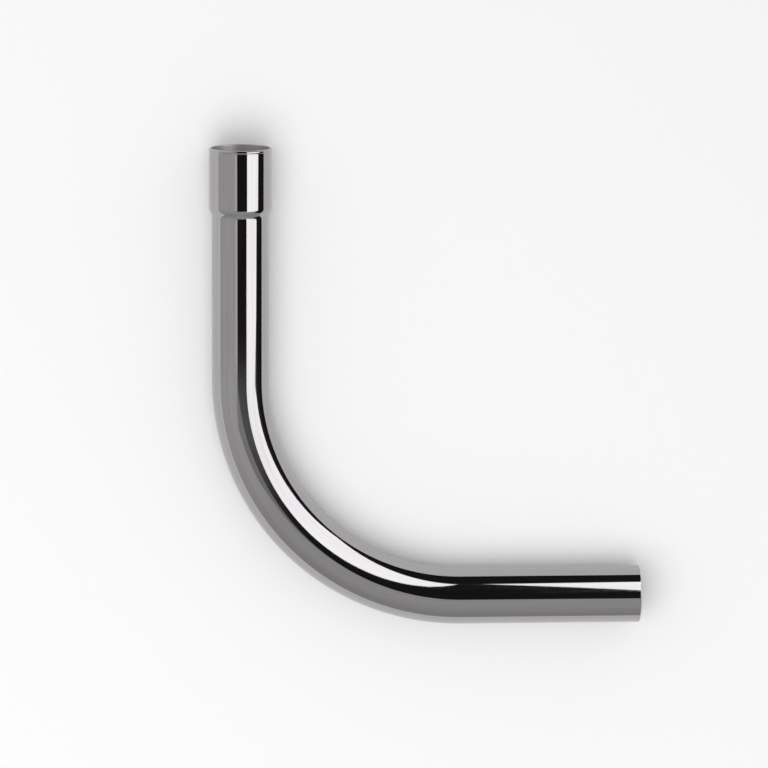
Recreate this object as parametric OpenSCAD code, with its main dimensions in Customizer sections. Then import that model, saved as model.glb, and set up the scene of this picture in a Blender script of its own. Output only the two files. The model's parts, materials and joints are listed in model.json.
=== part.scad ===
// Flush pipe elbow: one length of plated brass tube, bent through a right angle, with a plain cut
// end on one leg and an expanded, rolled socket on the other. It lies as it comes to rest: on the
// plain leg and on the socket, which is wider, so the plane of the bend leans very slightly.
// The plain leg points along +X and the socket along +Y, in millimetres.

/* [Tube] */
// Outside diameter of the tube
tube_od = 32; // [24:0.5:50]
// Wall of the tube
tube_wall = 1.2; // [0.8:0.1:1.6]

/* [Bend] */
// Radius of the bend, on the centreline of the tube
bend_r = 123; // [80:1:140]
// From the centreline of the plain leg to the mouth of the socket
socket_reach = 253; // [235:1:400]
// From the centreline of the socket leg to the plain end
plain_reach = 224; // [180:1:400]

/* [Socket] */
// Depth of the straight bore of the socket, as far as the neck
socket_depth = 33; // [20:1:45]
// Gap all round between the bore of the socket and a tube of the same size
socket_gap = 0.3; // [0.15:0.05:0.5]
// Wall of the expanded socket
socket_wall = 1.2; // [0.8:0.1:1.6]
// Length of the neck, over which the tube widens to the socket
neck_len = 5.3; // [4.5:0.1:12]

/* [Ends] */
// Radius of the rolled lip at the mouth of the socket
lip_round = 1.1; // [0.7:0.1:1.4]
// How far the lip stands proud of the socket
lip_proud = 0.2; // [0.1:0.05:0.4]
// Radius that eases both edges of the plain end
end_round = 0.3; // [0.1:0.05:0.35]

/* [Hidden] */
$fn = 96;

tube_r = tube_od / 2;
bore_r = tube_r - tube_wall;
socket_bore_r = tube_r + socket_gap;
socket_r = socket_bore_r + socket_wall;
lip_r = socket_r + lip_proud;

// Straight lengths that the bend leaves on the two legs
socket_leg = socket_reach - bend_r;
plain_leg = plain_reach - bend_r;

// Heights on the socket leg, from the end of the bend
socket_floor = socket_leg - socket_depth;
neck_floor = socket_floor - neck_len;

// The rings round the socket leg about which the lip and the socket's shoulder are rounded,
// each as radius and distance from the plain leg's axis
shoulder_round = neck_arcs(tube_r, socket_r) / 2;
lip_ring = [lip_r - lip_round, socket_reach - lip_round];
shoulder_ring = [socket_r - shoulder_round, socket_reach - socket_depth];

// Lean about the plain leg at which the lip or the shoulder meets the surface it all lies on
rest_lean = max(lean_on(lip_ring, lip_round), lean_on(shoulder_ring, shoulder_round));

// Furthest point of the leaning socket, and the middle of the pipe as it lies
far_y = lip_ring[1] * cos(rest_lean) + lip_ring[0] * sin(rest_lean) + lip_round;
middle = [(plain_reach - lip_r) / 2, (far_y - tube_r) / 2];

// Overshoot of a cut past the face that it opens
past = 1;
// Overlap of two round surfaces that would otherwise only graze each other
graze = 0.0002;

// Lean that brings an edge, rounded about a ring on the socket leg, down to the surface
function lean_on(ring, round_r) = atan(ring[0] / ring[1]) - asin((tube_r - round_r) / norm(ring));

// The radii of the neck's two arcs added together, as its length and its rise set them
function neck_arcs(from_r, to_r) =
    let (rise = to_r - from_r) (pow(neck_len, 2) + pow(rise, 2)) / (2 * rise);

// Everything inside the surface that widens from one radius to another over the neck: a hollow
// arc that runs into a round one. Inset is how far the surface lies inside the tube's outer one,
// which makes the hollow arc larger and the round one smaller.
module neck_outline(from_r, to_r, inset) {
    hollow_r = neck_arcs(from_r, to_r) / 2 + inset;
    round_r = neck_arcs(from_r, to_r) / 2 - inset;
    hollow_at = [from_r + hollow_r, 0];
    round_at = [to_r - round_r, neck_len];
    difference() {
        polygon([[0, 0], hollow_at, round_at, [0, neck_len]]);
        translate(hollow_at) circle(r = hollow_r + graze);
    }
    translate(round_at) circle(r = round_r + graze);
}

// Section through the wall of the socket leg: tube, neck, socket and rolled lip
module socket_leg_section() {
    difference() {
        union() {
            square([tube_r, socket_floor]);
            translate([0, neck_floor]) neck_outline(tube_r, socket_r, 0);
            translate([0, socket_floor]) square([socket_r, socket_depth - lip_round]);
            translate([lip_ring[0], socket_leg - lip_round]) circle(r = lip_round);
        }
        translate([0, -past]) square([bore_r, socket_floor + past]);
        translate([0, neck_floor]) neck_outline(bore_r, socket_bore_r, tube_wall);
        translate([0, socket_floor]) square([socket_bore_r, socket_depth + past]);
    }
}

// Section through the wall of the plain leg, with both edges of its end eased
module plain_leg_section() {
    square([tube_wall, plain_leg - end_round]);
    translate([end_round, 0]) square([tube_wall - 2 * end_round, plain_leg]);
    for (edge = [end_round, tube_wall - end_round])
        translate([edge, plain_leg - end_round]) circle(r = end_round);
}

module socket_leg() {
    translate([0, bend_r, 0]) rotate([-90, 0, 0]) rotate_extrude() socket_leg_section();
}

module bend() {
    translate([bend_r, bend_r, 0]) rotate([0, 0, 180]) rotate_extrude(angle = 90)
        translate([bend_r, 0]) difference() {
            circle(r = tube_r);
            circle(r = bore_r);
        }
}

module plain_leg() {
    translate([bend_r, 0, 0]) rotate([0, 90, 0]) rotate_extrude()
        translate([bore_r, 0]) plain_leg_section();
}

// Puts what is drawn round the crossing of the leg axes on the surface, as it lies
module laid_down() {
    translate([-middle.x, -middle.y, tube_r]) rotate([rest_lean, 0, 0]) children();
}

module elbow_tube() {
    color("silver") laid_down() {
        socket_leg();
        bend();
        plain_leg();
    }
}

elbow_tube();
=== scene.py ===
import json
import math

import bpy
from mathutils import Matrix, Vector


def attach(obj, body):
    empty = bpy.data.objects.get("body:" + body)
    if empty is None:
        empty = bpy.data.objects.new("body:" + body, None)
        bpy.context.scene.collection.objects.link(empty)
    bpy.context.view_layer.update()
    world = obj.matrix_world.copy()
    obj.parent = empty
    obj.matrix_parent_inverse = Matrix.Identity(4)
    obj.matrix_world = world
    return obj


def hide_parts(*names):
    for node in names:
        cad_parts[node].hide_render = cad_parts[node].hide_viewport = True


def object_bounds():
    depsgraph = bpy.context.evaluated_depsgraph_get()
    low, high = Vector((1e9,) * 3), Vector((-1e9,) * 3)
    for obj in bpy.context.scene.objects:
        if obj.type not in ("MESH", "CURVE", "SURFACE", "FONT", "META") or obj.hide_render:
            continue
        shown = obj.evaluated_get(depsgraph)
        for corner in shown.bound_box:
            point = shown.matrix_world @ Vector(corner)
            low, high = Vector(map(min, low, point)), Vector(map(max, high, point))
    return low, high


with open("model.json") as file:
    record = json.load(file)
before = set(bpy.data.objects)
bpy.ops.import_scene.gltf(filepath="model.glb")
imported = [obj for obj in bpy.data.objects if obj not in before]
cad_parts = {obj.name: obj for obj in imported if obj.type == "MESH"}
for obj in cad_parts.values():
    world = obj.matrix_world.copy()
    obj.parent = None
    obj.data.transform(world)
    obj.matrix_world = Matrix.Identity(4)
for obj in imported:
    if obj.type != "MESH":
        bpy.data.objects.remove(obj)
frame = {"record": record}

cad_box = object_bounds()

# The elbow is one length of brass tube. It is cut and eased at the plain end, expanded over a
# plug into a socket, its lip is rolled, and only then is it bent. So its wall is drawn here as
# it stands in the straight tube, and Geometry Nodes revolve that outline and bend the result.

mounts = {mount["name"]: mount for mount in frame["record"]["mounts"]}

# What mates is read from the mounts, in metres. The rest is the tube's own.
TUBE_R = mounts["spigot"]["dims"]["r_mm"] / 1000
TUBE_WALL = 0.0012
BORE_R = TUBE_R - TUBE_WALL
SOCKET_WALL = 0.0012
SOCKET_BORE_R = mounts["socket"]["dims"]["r_mm"] / 1000
SOCKET_R = SOCKET_BORE_R + SOCKET_WALL
SOCKET_DEPTH = mounts["socket"]["dims"]["length_mm"] / 1000
NECK_LENGTH = 0.0053
LIP_ROUND = 0.0011
LIP_PROUD = 0.0002
END_ROUND = 0.0003
BEND_R = 0.123
QUARTER_TURN = math.pi / 2

# Where the axes of the two legs cross, and how far the socket leg leans up from the floor
socket_middle = Vector(mounts["socket"]["pos_m"])
socket_way = Vector(mounts["socket"]["axis"])
spigot_middle = Vector(mounts["spigot"]["pos_m"])
legs_cross = Vector((socket_middle.x, spigot_middle.y, spigot_middle.z))
lean = math.atan2(socket_way.z, socket_way.y)

# Straight lengths that the bend leaves on the two legs, and the tube's length on its centreline
socket_leg = (socket_middle - legs_cross).length + SOCKET_DEPTH / 2 - BEND_R
plain_leg = cad_box[1].x - legs_cross.x - BEND_R
bend_end = socket_leg + BEND_R * QUARTER_TURN
tube_length = bend_end + plain_leg

# Steps of the outline round each arc and along each straight, and the short step beside each
# arc that keeps the shading of the straight even
LIP_STEPS = 20
NECK_STEPS = 8
END_STEPS = 5
BEND_STEPS = 90
STRAIGHT_STEPS = 12
SHORT_STEP = 0.00015
STEPS_ROUND = 128

# Points of the outline, or of the mesh, that are nearer than this are one point
SAME_IN_OUTLINE = 1e-7
SAME_IN_MESH = 1e-6


def arc(centre, radius, from_angle, to_angle, steps):
    """Points of the outline round an arc. Angle 0 points outwards, a quarter turn to the mouth."""
    angles = [from_angle + (to_angle - from_angle) * i / steps for i in range(steps + 1)]
    return [(centre[0] - radius * math.sin(a), centre[1] + radius * math.cos(a)) for a in angles]


def straight(start, end, radius):
    """Points along a straight side of the wall, from one distance from the mouth to another."""
    run = end - start - 2 * SHORT_STEP
    inner = [start + SHORT_STEP + run * i / STRAIGHT_STEPS for i in range(STRAIGHT_STEPS + 1)]
    return [(distance, radius) for distance in (start, *inner, end)]


def neck(socket_r, tube_r, inset):
    """The neck: a round arc on the socket's side, then a hollow one on the tube's."""
    rise = socket_r - tube_r
    both_radii = (NECK_LENGTH ** 2 + rise ** 2) / (2 * rise)
    turn = math.asin(NECK_LENGTH / both_radii)
    round_r, hollow_r = both_radii / 2 - inset, both_radii / 2 + inset
    round_centre = (SOCKET_DEPTH, socket_r - round_r)
    hollow_centre = (SOCKET_DEPTH + NECK_LENGTH, tube_r + hollow_r)
    return (arc(round_centre, round_r, 0, -turn, NECK_STEPS)
            + arc(hollow_centre, hollow_r, math.pi - turn, math.pi, NECK_STEPS))


def side_of_wall(start, socket_r, tube_r, inset):
    """One side of the wall, from the lip to the cut end."""
    bend_step = (bend_end - socket_leg) / BEND_STEPS
    bend = [(socket_leg + bend_step * i, tube_r) for i in range(BEND_STEPS + 1)]
    return (straight(start, SOCKET_DEPTH, socket_r)
            + neck(socket_r, tube_r, inset)
            + straight(SOCKET_DEPTH + NECK_LENGTH, socket_leg, tube_r)
            + bend
            + straight(bend_end, tube_length - END_ROUND, tube_r))


def wall_outline():
    """Closed outline of the wall: lip, outside, cut end, bore. Each point is its distance from the
    mouth, its radius, and 1 in the bore, which the polishing wheel doesn't reach."""
    lip_centre = (LIP_ROUND, SOCKET_R + LIP_PROUD - LIP_ROUND)
    lip_inner = math.acos((SOCKET_BORE_R - lip_centre[1]) / LIP_ROUND)
    lip_outer = -math.acos((SOCKET_R - lip_centre[1]) / LIP_ROUND)
    lip = arc(lip_centre, LIP_ROUND, lip_inner, lip_outer, LIP_STEPS)
    outside = side_of_wall(lip[-1][0], SOCKET_R, TUBE_R, 0)
    bore = side_of_wall(lip[0][0], SOCKET_BORE_R, BORE_R, TUBE_WALL)
    end = tube_length - END_ROUND
    cut_end = (arc((end, TUBE_R - END_ROUND), END_ROUND, 0, -QUARTER_TURN, END_STEPS)
               + arc((end, BORE_R + END_ROUND), END_ROUND, -QUARTER_TURN, -math.pi, END_STEPS))
    polished = [(*point, 0) for point in lip + outside + cut_end]
    unpolished = [(*point, 1) for point in bore[::-1]]
    points = polished + unpolished
    pairs = zip(points, points[1:] + points[:1])
    return [here for here, after in pairs if math.dist(here[:2], after[:2]) > SAME_IN_OUTLINE]


def outline_mesh(name, points):
    """The outline as a bare mesh of points, which the tree below reads in their order."""
    mesh = bpy.data.meshes.new(name)
    mesh.from_pydata(points, [], [])
    return mesh


def put(tree, kind, inputs=None, **settings):
    """Adds a node, sets its properties, and links or sets its inputs by name."""
    node = tree.nodes.new(kind)
    for name, value in settings.items():
        setattr(node, name, value)
    for name, value in (inputs or {}).items():
        if isinstance(value, bpy.types.NodeSocket):
            tree.links.new(value, node.inputs[name])
        else:
            node.inputs[name].default_value = value
    return node


def calc(tree, operation, *values):
    """Adds a Math node and returns its result."""
    node = put(tree, "ShaderNodeMath", dict(enumerate(values)), operation=operation)
    return node.outputs[0]


def bent_tube_tree():
    """Revolves a wall outline into a straight tube, bends it and lays it down."""
    tree = bpy.data.node_groups.new("bent_tube", "GeometryNodeTree")
    for name, kind in (("Wall Outline", "Geometry"), ("Steps Round", "Int"), ("Socket Leg", "Float"),
                       ("Bend Radius", "Float"), ("Bend Angle", "Float"), ("Lean", "Float"),
                       ("Legs Cross", "Vector"), ("Finish", "Material")):
        tree.interface.new_socket(name, in_out="INPUT", socket_type="NodeSocket" + kind)
    tree.interface.new_socket("Tube", in_out="OUTPUT", socket_type="NodeSocketGeometry")
    given = tree.nodes.new("NodeGroupInput").outputs
    bend_radius, bend_angle = given["Bend Radius"], given["Bend Angle"]

    # One row of the grid for each point of the outline, and the first row again to close it
    counted = put(tree, "GeometryNodeAttributeDomainSize", {"Geometry": given["Wall Outline"]})
    points = counted.outputs["Point Count"]
    grid = put(tree, "GeometryNodeMeshGrid", {
        "Size X": 1.0, "Size Y": 1.0, "Vertices X": calc(tree, "ADD", points, 1),
        "Vertices Y": calc(tree, "ADD", given["Steps Round"], 1)})
    place = tree.nodes.new("GeometryNodeInputPosition").outputs[0]
    on_grid = put(tree, "ShaderNodeSeparateXYZ", {0: place}).outputs
    row = calc(tree, "ROUND", calc(tree, "MULTIPLY", calc(tree, "ADD", on_grid["X"], 0.5), points))
    outline = put(tree, "GeometryNodeSampleIndex", {
        "Geometry": given["Wall Outline"], "Value": place, "Index": calc(tree, "MODULO", row, points)},
        data_type="FLOAT_VECTOR")
    distance, radius, in_bore = put(tree, "ShaderNodeSeparateXYZ", {0: outline.outputs[0]}).outputs

    # Wound this way round, the faces look outwards
    angle = calc(tree, "MULTIPLY", calc(tree, "SUBTRACT", 0.5, on_grid["Y"]), 2 * math.pi)
    across = calc(tree, "MULTIPLY", radius, calc(tree, "COSINE", angle))
    upward = calc(tree, "MULTIPLY", radius, calc(tree, "SINE", angle))
    unbent = put(tree, "ShaderNodeCombineXYZ", {"X": across, "Y": upward, "Z": distance}).outputs[0]

    # Each line of the tube swings round the bend's centre at its own arm
    past_leg = calc(tree, "SUBTRACT", distance, given["Socket Leg"])
    before = calc(tree, "MINIMUM", past_leg, 0.0)
    into_bend = calc(tree, "DIVIDE", past_leg, bend_radius)
    swing = calc(tree, "MAXIMUM", calc(tree, "MINIMUM", into_bend, bend_angle), 0.0)
    past_bend = calc(tree, "SUBTRACT", past_leg, calc(tree, "MULTIPLY", bend_radius, bend_angle))
    beyond = calc(tree, "MAXIMUM", past_bend, 0.0)
    arm = calc(tree, "SUBTRACT", bend_radius, across)
    in_bend_x = calc(tree, "SUBTRACT", bend_radius, calc(tree, "MULTIPLY", arm, calc(tree, "COSINE", swing)))
    further_x = calc(tree, "MULTIPLY", beyond, calc(tree, "SINE", bend_angle))
    bent_x = calc(tree, "ADD", in_bend_x, further_x)
    start_y = calc(tree, "SUBTRACT", bend_radius, before)
    in_bend_y = calc(tree, "SUBTRACT", start_y, calc(tree, "MULTIPLY", arm, calc(tree, "SINE", swing)))
    further_y = calc(tree, "MULTIPLY", beyond, calc(tree, "COSINE", bend_angle))
    bent_y = calc(tree, "SUBTRACT", in_bend_y, further_y)
    bent = put(tree, "ShaderNodeCombineXYZ", {"X": bent_x, "Y": bent_y, "Z": upward}).outputs[0]

    # The unbent place is stored first, because it is worked out from the flat grid
    mapped = put(tree, "GeometryNodeStoreNamedAttribute", {
        "Geometry": grid.outputs["Mesh"], "Name": "UVMap", "Value": grid.outputs["UV Map"]},
        data_type="FLOAT2", domain="CORNER")
    marked = put(tree, "GeometryNodeStoreNamedAttribute", {
        "Geometry": mapped.outputs[0], "Name": "straight_tube", "Value": unbent},
        data_type="FLOAT_VECTOR", domain="POINT")
    told_apart = put(tree, "GeometryNodeStoreNamedAttribute", {
        "Geometry": marked.outputs[0], "Name": "bore", "Value": in_bore}, data_type="FLOAT", domain="POINT")
    shaped = put(tree, "GeometryNodeSetPosition", {"Geometry": told_apart.outputs[0], "Position": bent})
    closed = put(tree, "GeometryNodeMergeByDistance", {
        "Geometry": shaped.outputs[0], "Distance": SAME_IN_MESH})
    smooth = put(tree, "GeometryNodeSetShadeSmooth", {"Geometry": closed.outputs[0], "Shade Smooth": True})
    turn = put(tree, "ShaderNodeCombineXYZ", {"X": given["Lean"]})
    laid = put(tree, "GeometryNodeTransform", {
        "Geometry": smooth.outputs[0], "Translation": given["Legs Cross"], "Rotation": turn.outputs[0]})
    real = put(tree, "GeometryNodeRealizeInstances", {"Geometry": laid.outputs[0]})
    finished = put(tree, "GeometryNodeSetMaterial", {
        "Geometry": real.outputs[0], "Material": given["Finish"]})
    tree.links.new(finished.outputs[0], tree.nodes.new("NodeGroupOutput").inputs[0])
    return tree


def grow(name, source, tree, **inputs):
    """Runs a tree on a mesh and returns what it makes as a plain mesh object."""
    piece = bpy.data.objects.new(name, source)
    bpy.context.scene.collection.objects.link(piece)
    modifier = piece.modifiers.new(tree.name, "NODES")
    modifier.node_group = tree
    for item in tree.interface.items_tree:
        if item.name in inputs:
            modifier[item.identifier] = inputs[item.name]
    shown = bpy.context.evaluated_depsgraph_get()
    mesh = bpy.data.meshes.new_from_object(
        piece.evaluated_get(shown), preserve_all_data_layers=True, depsgraph=shown)
    piece.modifiers.clear()
    piece.data = mesh
    mesh.name = name
    return piece


# The finish: depths and lengths in metres, colours as the plating reflects white light
CHROME_COOL = (0.392, 0.376, 0.390)
CHROME_WARM = (0.398, 0.388, 0.384)
NOISE_LOW = 0.3
NOISE_HIGH = 0.7
POLISHED_ROUGHNESS = 0.03
LINE_ROUGHNESS = 0.25
LINE_CONTRAST = 0.05
LINE_DEPTH = 0.4e-6
LINES_TO_METRE = (600.0, 600.0, 10.0)
SWELL_DEPTH = 6e-6
SWELLS_TO_METRE = (110.0, 110.0, 22.0)
PATCHES_TO_METRE = 25.0
FILM_AT = socket_leg + 0.025
FILM_LENGTH = 0.035
FILM_STARTS = 0.006
FILM_STOPS = 0.010
FILM_COVER = 0.26
BORE_ROUGHNESS = 0.5
BORE_PALER = 0.5


def chrome_finish():
    """Bright chrome over polished brass. The wheel leaves faint lines along the tube, the bender a
    thin grey film where the bend starts, and the bore keeps the duller skin it was drawn with."""
    material = bpy.data.materials.new("chrome_plate")
    material.use_nodes = True
    tree = material.node_tree
    shader = tree.nodes["Principled BSDF"]
    place = put(tree, "ShaderNodeAttribute", attribute_name="straight_tube").outputs["Vector"]
    bore = put(tree, "ShaderNodeAttribute", attribute_name="bore").outputs["Fac"]
    unbent = put(tree, "ShaderNodeSeparateXYZ", {0: place}).outputs

    # Noise drawn out along the tube: lines of the wheel, and the slow swell of the drawn wall
    lines_at = put(tree, "ShaderNodeMapping", {"Vector": place, "Scale": LINES_TO_METRE}).outputs[0]
    lines = put(tree, "ShaderNodeTexNoise", {"Vector": lines_at, "Scale": 1.0, "Detail": 4.0}).outputs[0]
    swell_at = put(tree, "ShaderNodeMapping", {"Vector": place, "Scale": SWELLS_TO_METRE}).outputs[0]
    swell = put(tree, "ShaderNodeTexNoise", {"Vector": swell_at, "Scale": 1.0, "Detail": 1.0}).outputs[0]
    patches = put(tree, "ShaderNodeTexNoise", {
        "Vector": place, "Scale": PATCHES_TO_METRE, "Detail": 2.0}).outputs[0]

    # Relief in metres
    line_relief = calc(tree, "MULTIPLY", lines, LINE_DEPTH)
    relief = calc(tree, "ADD", line_relief, calc(tree, "MULTIPLY", swell, SWELL_DEPTH))
    bump = put(tree, "ShaderNodeBump", {"Height": relief, "Distance": 1.0, "Strength": 1.0})
    tree.links.new(bump.outputs[0], shader.inputs["Normal"])

    # The film lies on the top and the outer side only, and what it covers isn't bare metal
    from_film = calc(tree, "DIVIDE", calc(tree, "SUBTRACT", unbent["Z"], FILM_AT), FILM_LENGTH)
    falling_off = calc(tree, "MULTIPLY", calc(tree, "MULTIPLY", from_film, from_film), -1.0)
    lengthwise = calc(tree, "EXPONENT", falling_off)
    crosswise = put(tree, "ShaderNodeMapRange", {
        "Value": unbent["X"], "From Min": FILM_STOPS, "From Max": FILM_STARTS, "To Min": 0.0, "To Max": 1.0})
    uneven = calc(tree, "MULTIPLY", swell, FILM_COVER)
    film = calc(tree, "MULTIPLY", calc(tree, "MULTIPLY", lengthwise, crosswise.outputs["Result"]), uneven)
    bare = calc(tree, "SUBTRACT", 1.0, film)
    tree.links.new(bare, shader.inputs["Metallic"])

    marked = calc(tree, "MULTIPLY", calc(tree, "POWER", lines, 4.0), LINE_ROUGHNESS)
    polished = calc(tree, "ADD", marked, POLISHED_ROUGHNESS)
    roughness = put(tree, "ShaderNodeMix", {"Factor": bore, "A": polished, "B": BORE_ROUGHNESS})
    tree.links.new(roughness.outputs["Result"], shader.inputs["Roughness"])

    tint = put(tree, "ShaderNodeValToRGB", {"Fac": patches})
    tint.color_ramp.elements[0].position = NOISE_LOW
    tint.color_ramp.elements[0].color = (*CHROME_COOL, 1)
    tint.color_ramp.elements[1].position = NOISE_HIGH
    tint.color_ramp.elements[1].color = (*CHROME_WARM, 1)
    streaks = put(tree, "ShaderNodeMapRange", {
        "Value": lines, "From Min": NOISE_LOW, "From Max": NOISE_HIGH,
        "To Min": 1.0 - LINE_CONTRAST, "To Max": 1.0 + LINE_CONTRAST}).outputs["Result"]
    bore_skin = calc(tree, "ADD", calc(tree, "MULTIPLY", bore, BORE_PALER), 1.0)
    paler = calc(tree, "MULTIPLY", streaks, bore_skin)
    colour = put(tree, "ShaderNodeVectorMath", {0: tint.outputs["Color"], "Scale": paler}, operation="SCALE")
    tree.links.new(colour.outputs[0], shader.inputs["Base Color"])
    return material


elbow = grow("flush_elbow", outline_mesh("wall_outline", wall_outline()), bent_tube_tree(), **{
    "Steps Round": STEPS_ROUND, "Socket Leg": socket_leg, "Bend Radius": BEND_R, "Bend Angle": QUARTER_TURN,
    "Lean": lean, "Legs Cross": legs_cross, "Finish": chrome_finish()})
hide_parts("elbow_tube")
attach(elbow, "root")

# The floor is plain white card, wide enough to fill every view.
FLOOR_HALF = 8.0


def card(name, corners, material):
    """A flat sheet of the studio, which isn't part of the elbow."""
    mesh = bpy.data.meshes.new(name)
    mesh.from_pydata(corners, [], [range(len(corners))])
    mesh.materials.append(material)
    sheet = bpy.data.objects.new(name, mesh)
    bpy.context.scene.collection.objects.link(sheet)
    return sheet


floor_white = bpy.data.materials.new("floor_white")
floor_white.use_nodes = True
floor_surface = floor_white.node_tree.nodes["Principled BSDF"]
floor_surface.inputs["Base Color"].default_value = (0.95, 0.95, 0.95, 1)
floor_surface.inputs["Roughness"].default_value = 1.0
floor_surface.inputs["Specular IOR Level"].default_value = 0.0
card("floor", [(-FLOOR_HALF, -FLOOR_HALF, 0), (FLOOR_HALF, -FLOOR_HALF, 0),
               (FLOOR_HALF, FLOOR_HALF, 0), (-FLOOR_HALF, FLOOR_HALF, 0)], floor_white)

# One large softbox hangs high on the right, beyond the bend's inner side, and makes the bright band
# along the tube. Black card round it gives the band its black edges. Both only show in the metal, so
# that the white floor is lit evenly by the room and the lamp.
SOFTBOX_LOW_RIGHT = Vector((0.896, -0.121, 0.535))
SOFTBOX_LOW_LEFT = Vector((0.686, 0.593, 0.152))
SOFTBOX_HIGH_LEFT = Vector((0.117, 0.672, 0.590))
SOFTBOX_HIGH_RIGHT = Vector((0.397, -0.482, 1.258))
SOFTBOX_STRENGTH = 2.2
WHITE = (1.0, 1.0, 1.0)


def glow(name, colour, strength):
    """A material that only sends out light."""
    material = bpy.data.materials.new(name)
    material.use_nodes = True
    surface = material.node_tree.nodes["Principled BSDF"]
    surface.inputs["Base Color"].default_value = (0, 0, 0, 1)
    surface.inputs["Specular IOR Level"].default_value = 0.0
    surface.inputs["Roughness"].default_value = 1.0
    surface.inputs["Emission Color"].default_value = (*colour, 1)
    surface.inputs["Emission Strength"].default_value = strength
    return material


def seen_only_in_reflections(sheet):
    sheet.visible_camera = False
    sheet.visible_diffuse = False
    sheet.visible_shadow = False


softbox = [SOFTBOX_LOW_RIGHT, SOFTBOX_LOW_LEFT, SOFTBOX_HIGH_LEFT, SOFTBOX_HIGH_RIGHT]
seen_only_in_reflections(card("softbox", softbox, glow("softbox_white", WHITE, SOFTBOX_STRENGTH)))

black_card = glow("black_card", (0.016, 0.016, 0.017), 1.0)


def at_floor(corner):
    return Vector((corner.x, corner.y, 0.0))


# The flag under the softbox stands on the floor, the tall one behind runs past it to the left, and
# the one overhead lies above it all, round the camera's line of sight.
FLAG_HEIGHT = 1.3
BEHIND = 0.69
BEHIND_LEFT = -0.35
BEHIND_RIGHT = 0.85


def hang_overhead(name, outline, material):
    """A card at the height of the overhead flag, which only shows in the metal."""
    seen_only_in_reflections(card(name, [(x, y, FLAG_HEIGHT) for x, y in outline], material))


beyond_right = SOFTBOX_LOW_RIGHT * 2 - SOFTBOX_LOW_LEFT
upright_flag = [at_floor(SOFTBOX_LOW_LEFT), at_floor(beyond_right), beyond_right, SOFTBOX_LOW_LEFT]
flag_behind = [(BEHIND_LEFT, BEHIND, 0), (BEHIND_RIGHT, BEHIND, 0),
               (BEHIND_RIGHT, BEHIND, FLAG_HEIGHT), (BEHIND_LEFT, BEHIND, FLAG_HEIGHT)]
overhead_flag = [(-0.44, BEHIND), (-0.44, -0.20), (-0.20, -0.29), (0.10, -0.30), (0.70, -0.44),
                 (0.70, BEHIND)]
seen_only_in_reflections(card("flag_right", upright_flag, black_card))
seen_only_in_reflections(card("flag_behind", flag_behind, black_card))
hang_overhead("flag_overhead", overhead_flag, black_card)

# The overhead flag's frame is pale on the left, which draws a light line beside the black band, and
# a grey net along its near edge softens the black on the bend's outer side.
frame_left = [(-0.44, -0.20), (-0.64, -0.20), (-0.64, 0.40), (-0.44, 0.40)]
net_near = [(-0.44, -0.20), (-0.78, -0.42), (-0.46, -0.50), (-0.11, -0.40), (0.10, -0.30), (-0.20, -0.29)]
hang_overhead("flag_frame", frame_left, glow("frame_pale", WHITE, 0.86))
hang_overhead("flag_net", net_near, glow("net_grey", WHITE, 0.30))

# The rest of the room is pale grey, and darker towards the near side, most of all low down.
ROOM_LEFT = 0.68
ROOM_NEAR_LOW = 0.46
ROOM_NEAR_HIGH = 0.57
LOW_DOWN = 0.3
HIGH_UP = 0.7
world = bpy.data.worlds.new("room")
world.use_nodes = True
room = world.node_tree
way = room.nodes.new("ShaderNodeTexCoord").outputs["Generated"]
height = put(room, "ShaderNodeSeparateXYZ", {0: way}).outputs["Z"]
level = put(room, "ShaderNodeVectorMath", {0: way, 1: (1.0, 1.0, 0.0)}, operation="MULTIPLY").outputs[0]
compass = put(room, "ShaderNodeVectorMath", {0: level}, operation="NORMALIZE").outputs[0]
away = put(room, "ShaderNodeSeparateXYZ", {0: compass}).outputs["Y"]
near_side = put(room, "ShaderNodeMapRange", {
    "Value": height, "From Min": LOW_DOWN, "From Max": HIGH_UP,
    "To Min": ROOM_NEAR_LOW, "To Max": ROOM_NEAR_HIGH})
shade = put(room, "ShaderNodeMapRange", {
    "Value": away, "From Min": -0.9, "From Max": 0.0,
    "To Min": near_side.outputs["Result"], "To Max": ROOM_LEFT})
room.links.new(shade.outputs["Result"], room.nodes["Background"].inputs["Color"])
bpy.context.scene.world = world

# A broad lamp overhead lights the floor. Bright metal would show it as a spot, so it is kept out of
# what the metal shows.
fill = bpy.data.lights.new("fill", "AREA")
fill.shape = "DISK"
fill.size = 3.0
fill.energy = 40.0
fill_lamp = bpy.data.objects.new("fill", fill)
fill_lamp.location = (-0.8, -0.8, 2.6)
fill_lamp.visible_glossy = False
fill_lamp.visible_camera = False
bpy.context.scene.collection.objects.link(fill_lamp)

# The camera looks down on the elbow from where the photograph was taken.
CAMERA_AT = Vector((-0.22988, 0.44669, 2.97333))
CAMERA_LOOKS_AT = Vector((-0.022913, 0.001249, 0.013736))
CAMERA_UP = Vector((0.00729, 0.98841, -0.15163))
lens = bpy.data.cameras.new("camera")
lens.sensor_width = 36.0
lens.lens = 252.0
camera = bpy.data.objects.new("camera", lens)
bpy.context.scene.collection.objects.link(camera)
back = (CAMERA_AT - CAMERA_LOOKS_AT).normalized()
right = CAMERA_UP.cross(back).normalized()
up = back.cross(right)
camera.matrix_world = Matrix.Translation(CAMERA_AT) @ Matrix((right, up, back)).transposed().to_4x4()
bpy.context.scene.camera = camera
bpy.context.scene.view_settings.view_transform = "Standard"
